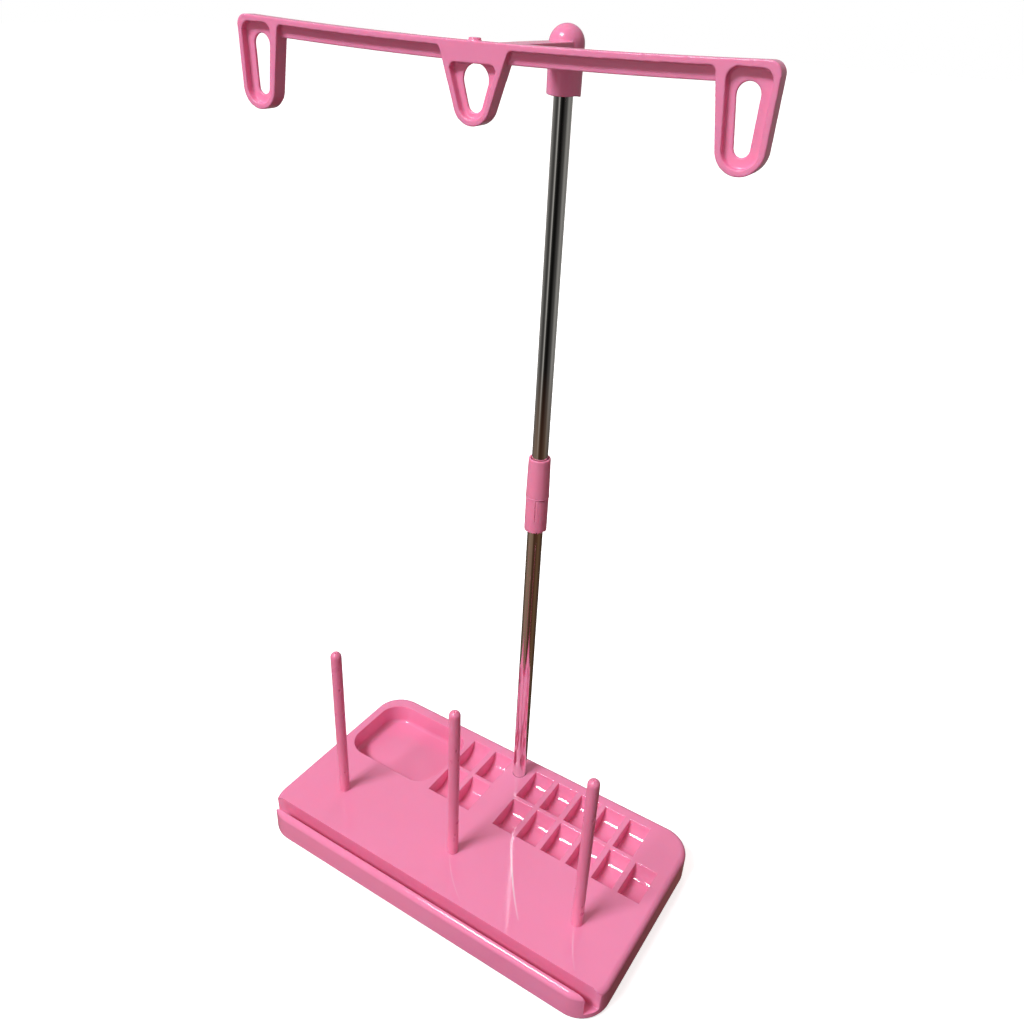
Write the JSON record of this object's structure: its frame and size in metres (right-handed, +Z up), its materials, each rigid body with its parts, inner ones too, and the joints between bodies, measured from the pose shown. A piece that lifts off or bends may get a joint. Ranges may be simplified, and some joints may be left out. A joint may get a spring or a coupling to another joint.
{
  "type": "thread rack",
  "caption": "Sewing thread rack: flat base with bobbin troughs, a tray, a front groove and spool pins, and a tall two-piece stand with a swivelling bar of thread loops.",
  "frame": {"origin": "on the table, under the middle of the base", "axes": "+X to the right along the spool pin row, +Y to the back, +Z up along the stand; the groove is at the front"},
  "size_m": [0.2174, 0.1204, 0.4227],
  "materials": {
    "pink_plastic": "gloss moulded",
    "bright_rod": "bright plated",
    "foot_rubber": "matt",
    "screw_steel": "zinc plated",
    "plug_plastic": "moulded"
  },
  "bodies": {
    "base": {"base_shell": "pink_plastic", "bottom_cover": "pink_plastic", "cover_screws": "screw_steel", "foot_front_left": "foot_rubber", "foot_front_right": "foot_rubber", "foot_back_left": "foot_rubber", "foot_back_right": "foot_rubber", "lower_tube": "bright_rod", "tube_plug": "plug_plastic", "anchor_washer": "screw_steel", "anchor_screw": "screw_steel", "coupling_lower": "pink_plastic"},
    "upper_section": {"upper_tube": "bright_rod", "coupling_upper": "pink_plastic"},
    "guide": {"thread_guide": "pink_plastic"},
    "pin_left": {"spool_pin_left": "pink_plastic"},
    "pin_middle": {"spool_pin_middle": "pink_plastic"},
    "pin_right": {"spool_pin_right": "pink_plastic"}
  },
  "joints": [
    {"name": "stand_lift", "type": "slide", "parent": "base", "child": "upper_section", "axis": [0, 0, 1], "range_m": [0, 0.022]},
    {"name": "guide_swivel", "type": "hinge", "parent": "upper_section", "child": "guide", "pos_m": [-0.0007, 0.0459, 0.405], "axis": [0, 0, 1], "continuous": true},
    {"name": "pin_left_lift", "type": "slide", "parent": "base", "child": "pin_left", "axis": [0, 0, 1], "range_m": [0, 0.015]},
    {"name": "pin_middle_lift", "type": "slide", "parent": "base", "child": "pin_middle", "axis": [0, 0, 1], "range_m": [0, 0.015]},
    {"name": "pin_right_lift", "type": "slide", "parent": "base", "child": "pin_right", "axis": [0, 0, 1], "range_m": [0, 0.015]}
  ]
}
